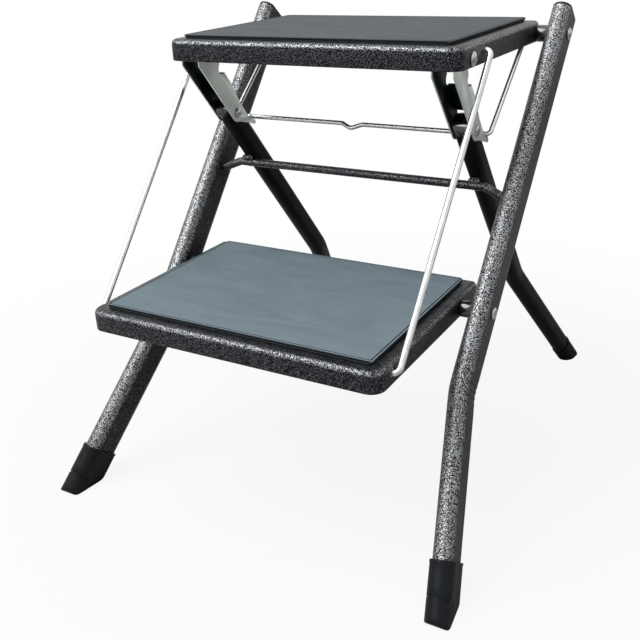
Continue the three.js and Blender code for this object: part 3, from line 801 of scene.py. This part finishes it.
def wrinkle(leg, s, x):
    """How far the tube's outer side is pressed in at its bend, in shallow ripples."""
    away = (s - leg["bend"]) / WRINKLE_REACH
    if x <= 0 or abs(away) >= 1:
        return 0.0
    ripple = 0.5 + 0.5 * math.cos(2 * math.pi * (s - leg["bend"]) / WRINKLE_PITCH)
    return leg["wrinkle"] * ripple * (1 - away * away) * (2 * x / leg["width"])


def leg_tube(leg, start, end, top=None):
    """Rings up a tube's outside and down its inside; top shapes its upper end as a function of x and q."""
    fine = np.arange(leg["bend"] - FINE_REACH, leg["bend"] + FINE_REACH, WRINKLE_PITCH / RIPPLE_STEPS)
    levels = [start, (start + fine[0]) / 2, *fine, (fine[-1] + end) / 2]
    walls = []
    for inset in (0, 2 * leg["wall"]):
        outline = oval(leg["width"] - inset, leg["depth"] - inset)
        rings = []
        for s in levels:
            shape = np.array([(x - wrinkle(leg, s, x), q) for x, q in outline])
            rings.append(leg_ring(leg, shape, s))
        rings.append(leg_ring(leg, outline, top or end))
        walls.append(rings)
    return walls[0] + walls[1][::-1]


def plug_rings(leg, level_of, stem_level, thickness):
    """A flange with softened edges on a stem; level_of gives the flange's height at q."""
    width, depth = leg["width"], leg["depth"]
    inset = 2 * (leg["wall"] + GAP)
    stem = oval(width - inset, depth - inset)
    rings = [leg_ring(leg, stem, stem_level), leg_ring(leg, stem, lambda x, q: level_of(q, 0))]
    flange = [(PLUG_EDGE, 0), (0, PLUG_EDGE / 2)]
    for cosine, sine in quarter(LIP_STEPS):
        flange.append((2 * PLUG_EDGE * (1 - cosine), thickness - PLUG_EDGE * (1 - sine)))
    for drawn, rise in flange:
        shape = oval(width - drawn, depth - drawn)
        rings.append(leg_ring(leg, shape, lambda x, q: level_of(q, rise)))
    return rings


def leg_painted_highlight(place):
    """Painted highlight on the front leg: all of it round the leg's front and rear, none on its flat sides.
    """
    q = (side_view(place) - FRONT_LEG["floor"]) @ FRONT_LEG["back"]
    flat = (FRONT["depth"] - FRONT["width"]) / 2
    return float(np.clip((abs(q) - flat) / PAINTED_HIGHLIGHT_SPREAD, 0, 1))


front_start = square_cut(FRONT_LEG, FRONT["depth"], BOOT["sole"])
front_end = length_on(FRONT_LEG, upper_pivot) + FRONT_TOP_REACH
front_tubes = pair(
    "front_leg_tube", leg_tube(FRONT_LEG, front_start, front_end), "root", "hammertone_paint", PAINT,
    "front_leg", loop=True,
)
for tube in front_tubes:
    mark(tube, PAINTED_HIGHLIGHT_NAME, leg_painted_highlight)
pair(
    "front_leg_top_plug",
    plug_rings(
        FRONT_LEG, lambda q, rise: front_end + GAP + rise, front_end - PLUG_STEM, FRONT_PLUG_FLANGE,
    ),
    "root", "black_plastic", PLASTIC, "front_leg_plug", strips=True,
)

knee_length = length_on(REAR_LEG, knee)
rear_start = square_cut(REAR_LEG, REAR["depth"], CAP["sole"])


def round_knee(q, radius):
    """Distance up the rear leg, at q, of an arc about the knee."""
    return knee_length + math.sqrt(max(radius * radius - q * q, 0.0))


pair(
    "rear_leg_tube",
    leg_tube(
        REAR_LEG, rear_start, round_knee(REAR["depth"] / 2, REAR_TOP_REACH),
        lambda x, q: round_knee(q, REAR_TOP_REACH),
    ),
    "rear_legs", "satin_black_paint", BLACK_PAINT, "rear_leg", loop=True,
)
pair(
    "rear_leg_top_plug",
    plug_rings(
        REAR_LEG, lambda q, rise: round_knee(q, REAR_TOP_REACH + GAP + rise),
        knee_length + KNEE_RIVET["shank"] / 2 + 2 * GAP, REAR_PLUG_FLANGE,
    ),
    "rear_legs", "black_plastic", GLOSSY_PLASTIC, "rear_leg_plug", strips=True,
)


# Boots and caps
def foot_floor(leg, depth, toe):
    """Distance up the leg's axis of the foot's underside at q: the floor, and the toe's arc."""
    up, back = leg["up"][1], leg["back"][1]
    side = 1 if back > 0 else -1
    centre_q = side * (depth / 2 - toe)
    centre_s = (toe - back * centre_q) / up
    tangent_q = centre_q - toe * back

    def level(q):
        if side * (q - tangent_q) > 0:
            drop = max(toe * toe - (q - centre_q) ** 2, 0.0)
            return centre_s - math.sqrt(drop)
        return -back * q / up

    return level


def toe_outlines(wall, straight, groove):
    """The outline with a groove where its round front meets each side, and with that front drawn in."""
    grooved, drawn_in = wall.copy(), wall.copy()
    for i, (x, q) in enumerate(wall):
        ahead = -straight - q
        if abs(ahead) < GAP / 10:
            grooved[i, 0] -= math.copysign(groove, x)
        elif ahead > 0:
            share = groove / 2 / math.hypot(x, ahead)
            drawn_in[i] += np.array([-x, ahead]) * share
    return grooved, drawn_in


def foot_rings(leg, foot):
    """From the sole up the moulded toe and the wall, over the lip and down to the socket's floor."""
    width = leg["width"] + 2 * (GAP + foot["wall"])
    depth = leg["depth"] + 2 * (GAP + foot["wall"])
    under = foot_floor(leg, depth, foot["toe"])
    top = foot["length"]

    def level_of(rise, share):
        def level(x, q):
            low = under(q) + rise - x * math.sin(leg["splay"])
            return low + (top - low) * share
        return level

    rings = []
    for cosine, sine in quarter(EDGE_STEPS):
        inset = 2 * FOOT_EDGE * (1 - sine) + 2 * FOOT_RECESS
        rings.append(leg_ring(leg, oval(width - inset, depth - inset), level_of(FOOT_EDGE * (1 - cosine), 0)))
    wall = oval(width - 2 * FOOT_RECESS, depth - 2 * FOOT_RECESS)
    toe, seam = toe_outlines(wall, (depth - width) / 2, foot["groove"])
    lip = 1 - FOOT_LIP / top
    stages = [(toe, share) for share in TOE_SHARES]
    stages += [(seam, share) for share in SEAM_SHARES]
    stages += [(wall, share) for share in np.linspace(WALL_SHARE, lip, LIP_STEPS + 1)]
    stages.append((oval(width, depth), lip + LIP_SHARE * (1 - lip)))
    for outline, share in stages:
        rings.append(leg_ring(leg, outline, level_of(FOOT_EDGE, share)))
    for cosine, sine in quarter(EDGE_STEPS):
        inset = FOOT_EDGE * (1 - cosine)
        rings.append(leg_ring(leg, oval(width - inset, depth - inset), top - FOOT_EDGE / 2 * (1 - sine)))
    socket = oval(leg["width"] + 2 * GAP, leg["depth"] + 2 * GAP)
    rings.append(leg_ring(leg, socket, top))
    rings.append(leg_ring(leg, socket, square_cut(leg, leg["depth"], foot["sole"]) - GAP))
    return rings


pair(
    "front_rubber_boot", foot_rings(FRONT_LEG, BOOT), "root", "boot_rubber", BOOT_RUBBER,
    "front_boot", strips=True,
)
pair(
    "rear_rubber_cap", foot_rings(REAR_LEG, CAP), "rear_legs", "boot_rubber", CAP_RUBBER,
    "rear_foot_cap", strips=True,
)


# Turned pieces
def turned_rings(profile, place):
    """Rings about an axis along X; the profile is a list of x and radius."""
    rings = []
    for x, radius in profile:
        rings.append(np.array([across(x, place + p) for p in circle(max(radius, GAP / 10), TURNED_SIDES)]))
    return rings


def dome(face, out, radius, height):
    """Profile of a domed head on a face: a low rim, a shoulder and a round crown."""
    rim = height * DOME["rim"]
    crown = radius * DOME["crown"]
    profile = [
        (face, radius * DOME["face"]), (face + out * rim * DOME["bevel"], radius), (face + out * rim, radius),
    ]
    for cosine, sine in quarter(2 * LIP_STEPS)[1:]:
        profile.append((face + out * (rim + (height - rim) * sine), crown * cosine))
    return profile


def rivet_profile(rivet, tail_face, head_face):
    """From the tail's end through the shank to the crown of the head."""
    tail = rivet["tail"] / 2
    chamfer = tail * TAIL_CHAMFER
    start = tail_face - rivet["tail_height"]
    profile = [(start, 0.0), (start, tail - chamfer), (start + chamfer, tail), (tail_face, tail)]
    profile += [(tail_face, rivet["shank"] / 2), (head_face, rivet["shank"] / 2)]
    return profile + dome(head_face, 1, rivet["head"] / 2, rivet["height"])


def node_span(node):
    """Where a turned node starts and ends along X, and its radius."""
    low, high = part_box(node)
    return low[0], high[0], (high[2] - low[2]) / 2


def spacer_rings(node, place, shank):
    """A bushing with softened rims round a rivet's shank."""
    start, end, outer = node_span(f"{node}_right")
    bore = shank / 2 + GAP
    edge = SPACER_EDGE
    soft = SPACER_EDGE * SPACER_SOFTENING
    profile = [
        (start, bore), (start, outer - edge), (start + soft, outer - soft), (start + edge, outer),
        (end - edge, outer), (end - soft, outer - soft), (end, outer - edge), (end, bore),
    ]
    return turned_rings(profile, place)


skirt_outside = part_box("upper_step_pan")[1][0]
front_outer_face = FRONT_LEG["half_span"] + FRONT["width"] / 2
for step, pivot in (("upper", upper_pivot), ("lower", lower_pivot)):
    profile = rivet_profile(STEP_RIVET, skirt_outside - PAN_SHEET - GAP, front_outer_face + GAP)
    pair(
        f"{step}_pivot_domed_rivet", turned_rings(profile, pivot), "root", "rivet_steel", STEEL,
        f"{step}_pivot_rivet",
    )
    node = f"{step}_pivot_spacer"
    pair(
        f"{step}_pivot_bushing", spacer_rings(node, pivot, STEP_RIVET["shank"]), "root", "black_plastic",
        GLOSSY_PLASTIC, node, loop=True,
    )

latch_tail_face = node_span("latch_rivet_right")[0] + LATCH_RIVET["tail_height"]
latch_profile = rivet_profile(LATCH_RIVET, latch_tail_face, skirt_outside + GAP)
pair(
    "latch_domed_rivet", turned_rings(latch_profile, latch_pivot), "upper_step", "rivet_steel", STEEL,
    "latch_rivet",
)
pair(
    "latch_bushing", spacer_rings("latch_spacer", latch_pivot, LATCH_RIVET["shank"]), "upper_step",
    "rivet_steel", STEEL, "latch_spacer", loop=True,
)

for node, out in (("knee_rivet_outer", 1), ("knee_rivet_inner", -1)):
    low, high, _ = node_span(f"{node}_right")
    inside, outside = (low, high) if out > 0 else (high, low)
    face = outside - out * KNEE_RIVET["height"]
    profile = [(inside, 0.0), (inside, KNEE_RIVET["shank"] / 2), (face, KNEE_RIVET["shank"] / 2)]
    profile += dome(face, out, KNEE_RIVET["head"] / 2, KNEE_RIVET["height"])
    pair(
        node.replace("rivet", "domed_rivet"), turned_rings(profile, knee), "latch_{side}", "rivet_steel",
        STEEL, node,
    )


# Wires and rods
link_path = rounded_path(
    [
        across(LINK_HOOK, link_top), across(LINK_HALF_SPAN, link_top),
        across(LINK_HALF_SPAN, link_bottom), across(LINK_HOOK, link_bottom),
    ],
    [LINK_BEND] * 2,
)
link_normal = across(0, front_back)
pair(
    "link_wire", sweep(link_path, LINK_WIRE, link_normal, LINK_END_EDGE), "link_{side}", "bright_wire",
    WIRE, "link_rod",
)

weld_middle = (middle_of("rod_weld_upper_right") + middle_of("rod_weld_lower_right")) / 2
rod_on_leg = REAR_LEG["floor"] + rear_up * length_on(REAR_LEG, side_view(weld_middle))
rod_place = rod_on_leg - rear_back * (REAR["depth"] / 2 + GAP + ROD / 2)
rod_half = [across(ROD_BENDS[0], rod_place), across(ROD_BENDS[1], rear_pivot), across(ROD_END, rear_pivot)]
rod_path = rounded_path(mirrored(rod_half[::-1]) + rod_half, [ROD_BEND] * (2 * len(rod_half) - 2))
rod_turn = unit(rod_place - rear_pivot)
rod_rings = sweep(rod_path, ROD, across(0, (-rod_turn[1], rod_turn[0])), ROD_END_EDGE)
rod = dress(build("cross_rod_bar", rod_rings), "rear_legs", PAINT, "cross_rod")
# Painted highlight: the round rod takes an even share of it all over
mark(rod, PAINTED_HIGHLIGHT_NAME, lambda place: ROD_PAINTED_HIGHLIGHT)

bail_up = np.array([math.cos(BAIL_ARM_RISE), math.sin(BAIL_ARM_RISE)])
bail_end = bail_corner + bail_up * BAIL_ARM
dip_place = bail_corner - bail_up * BAIL_DIP
bail_path = rounded_path(
    [
        across(-BAIL_HALF_SPAN, bail_end), across(-BAIL_HALF_SPAN, bail_corner),
        across(-BAIL_DIP_HALF, bail_corner), across(0, dip_place), across(BAIL_DIP_HALF, bail_corner),
        across(BAIL_HALF_SPAN, bail_corner), across(BAIL_HALF_SPAN, bail_end),
    ],
    [BAIL_BEND, BAIL_DIP_BEND, BAIL_DIP_BEND, BAIL_DIP_BEND, BAIL_BEND],
)
bail_rings = sweep(bail_path, BAIL_WIRE, across(0, (-bail_up[1], bail_up[0])), BAIL_END_EDGE)
dress(build("locking_bail_wire", bail_rings), "bail", WIRE, "locking_bail")


# Latch brackets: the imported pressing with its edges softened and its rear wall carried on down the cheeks
def add_latch_wall(work, node):
    corners = [latch_pivot - rear_up * down + rear_back * back for down, back in LATCH_WALL]
    low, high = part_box(node)
    sides = []
    for x in (low[0] + LATCH_SHEET / 2, high[0] - LATCH_SHEET / 2):
        sides.append([work.verts.new(across(x, corner)) for corner in corners])
    for side in sides:
        work.faces.new(side)
    for k in range(len(corners)):
        after = (k + 1) % len(corners)
        work.faces.new([sides[0][k], sides[0][after], sides[1][after], sides[1][k]])


def latch_bracket(side):
    node = f"latch_bracket_{side}"
    mesh = frame["nodes"][node].data.copy()
    work = bmesh.new()
    work.from_mesh(mesh)
    bmesh.ops.remove_doubles(work, verts=work.verts, dist=GAP / 30)
    bmesh.ops.dissolve_limit(work, angle_limit=FLAT, verts=work.verts, edges=work.edges)
    add_latch_wall(work, node)
    sharp = [e for e in work.edges if len(e.link_faces) == 2 and e.calc_face_angle() > SHARP]
    bmesh.ops.bevel(
        work, geom=sharp, offset=LATCH_EDGE, segments=2, profile=0.5, affect="EDGES", clamp_overlap=True,
    )
    work.to_mesh(mesh)
    work.free()
    dress(tidy(f"latch_pressing_{side}", mesh), f"latch_{side}", ZINC, node)


for side in ("right", "left"):
    latch_bracket(side)
    pin = frame["nodes"][f"knee_pin_{side}"]
    pin.data.materials.clear()
    pin.data.materials.append(STEEL)


# Weld beads: rippled fillets in the corners between the cross rod and the rear legs
def weld_rings(place):
    steps = WELD_RIPPLES * RIPPLE_STEPS
    rings = []
    for k in range(steps + 1):
        share = 2 * k / steps - 1
        ripple = WELD_RIPPLE * math.cos(2 * math.pi * k / RIPPLE_STEPS)
        radius = WELD_RADIUS * math.sqrt(WELD_BLUNTNESS - share ** 4) + ripple
        x = REAR_LEG["half_span"] + share * WELD_LENGTH / 2
        rings.append(np.array([across(x, place + p) for p in circle(radius, WIRE_SIDES)]))
    return rings


for level, way in (("upper", 1), ("lower", -1)):
    corner = rod_place + rear_up * way * (ROD / 2 + WELD_RADIUS / 3) + rear_back * ROD / 4
    beads = pair(
        f"weld_bead_{level}", weld_rings(corner), "rear_legs", "hammertone_paint", PAINT, f"rod_weld_{level}",
    )
    # Painted highlight: the round beads take all of it
    for bead in beads:
        mark(bead, PAINTED_HIGHLIGHT_NAME, lambda place: WELD_PAINTED_HIGHLIGHT)


# Stage: floor, world, lamps and camera
def make_floor():
    """A pale floor that takes the stool's shadow and is seen to fade to white further out."""
    work = bmesh.new()
    bmesh.ops.create_grid(work, x_segments=4, y_segments=4, size=FLOOR_HALF)
    mesh = bpy.data.meshes.new("floor")
    work.to_mesh(mesh)
    work.free()
    n = Nodes("pale_floor")
    n.set(Base_Color=(*FLOOR_COLOUR, 1), Roughness=0.9, Specular_IOR_Level=0.0)
    away = n.add("ShaderNodeVectorMath", operation="LENGTH")
    n.link(n.place, away.inputs[0])
    fade = n.add("ShaderNodeMapRange", interpolation_type="SMOOTHSTEP")
    fade.inputs["From Min"].default_value, fade.inputs["From Max"].default_value = FLOOR_FADE
    fade.inputs["To Min"].default_value = FLOOR_LEAST_FADE
    n.link(away.outputs["Value"], fade.inputs["Value"])
    seen = n.add("ShaderNodeMath", operation="MULTIPLY")
    n.link(n.add("ShaderNodeLightPath").outputs["Is Camera Ray"], seen.inputs[0])
    n.link(fade.outputs["Result"], seen.inputs[1])
    white = n.add("ShaderNodeEmission")
    mix = n.add("ShaderNodeMixShader")
    n.link(seen.outputs[0], mix.inputs["Fac"])
    n.link(n.shader.outputs["BSDF"], mix.inputs[1])
    n.link(white.outputs["Emission"], mix.inputs[2])
    n.link(mix.outputs[0], n.tree.nodes["Material Output"].inputs["Surface"])
    mesh.materials.append(n.material)
    placed("floor", mesh)


def make_world():
    """White where the camera, a reflection or glass looks; plain soft light elsewhere."""
    world = bpy.data.worlds.new("studio")
    bpy.context.scene.world = world
    world.use_nodes = True
    tree = world.node_tree
    path = tree.nodes.new("ShaderNodeLightPath")
    seen = path.outputs["Is Camera Ray"]
    for ray in ("Is Glossy Ray", "Is Transmission Ray"):
        either = tree.nodes.new("ShaderNodeMath")
        either.operation = "MAXIMUM"
        tree.links.new(seen, either.inputs[0])
        tree.links.new(path.outputs[ray], either.inputs[1])
        seen = either.outputs[0]
    mix = tree.nodes.new("ShaderNodeMixShader")
    tree.links.new(seen, mix.inputs["Fac"])
    soft = tree.nodes["Background"]
    white = tree.nodes.new("ShaderNodeBackground")
    for background, strength, socket in ((soft, WORLD_LIGHT, 1), (white, 1.0, 2)):
        background.inputs["Color"].default_value = (1, 1, 1, 1)
        background.inputs["Strength"].default_value = strength
        tree.links.new(background.outputs[0], mix.inputs[socket])
    tree.links.new(mix.outputs[0], tree.nodes["World Output"].inputs["Surface"])


def make_lamps():
    for name, lamp in LAMPS.items():
        light = bpy.data.lights.new(name, "AREA")
        light.shape = "SQUARE"
        light.size = lamp["size"]
        light.energy = lamp["power"]
        thing = placed(name, light)
        thing.location = lamp["place"]
        aim = Vector(LAMP_TARGET) - Vector(lamp["place"])
        thing.rotation_euler = aim.to_track_quat("-Z", "Y").to_euler()


def make_camera():
    ahead = np.array([-math.sin(CAMERA_YAW), math.cos(CAMERA_YAW), 0]) * math.cos(CAMERA_PITCH)
    forward = ahead + np.array([0, 0, math.sin(CAMERA_PITCH)])
    level_right = unit(np.cross(forward, [0, 0, 1]))
    level_up = np.cross(level_right, forward)
    right = math.cos(CAMERA_ROLL) * level_right + math.sin(CAMERA_ROLL) * level_up
    up = -math.sin(CAMERA_ROLL) * level_right + math.cos(CAMERA_ROLL) * level_up
    data = bpy.data.cameras.new("camera")
    data.sensor_width = SENSOR
    data.lens = SENSOR * FOCAL_PIXELS / FRAME_PIXELS
    camera = placed("camera", data)
    camera.matrix_world = Matrix((
        (right[0], up[0], -forward[0], CAMERA_PLACE[0]),
        (right[1], up[1], -forward[1], CAMERA_PLACE[1]),
        (right[2], up[2], -forward[2], CAMERA_PLACE[2]),
        (0, 0, 0, 1),
    ))
    bpy.context.scene.camera = camera


make_floor()
make_world()
make_lamps()
make_camera()
bpy.context.scene.view_settings.view_transform = "Standard"
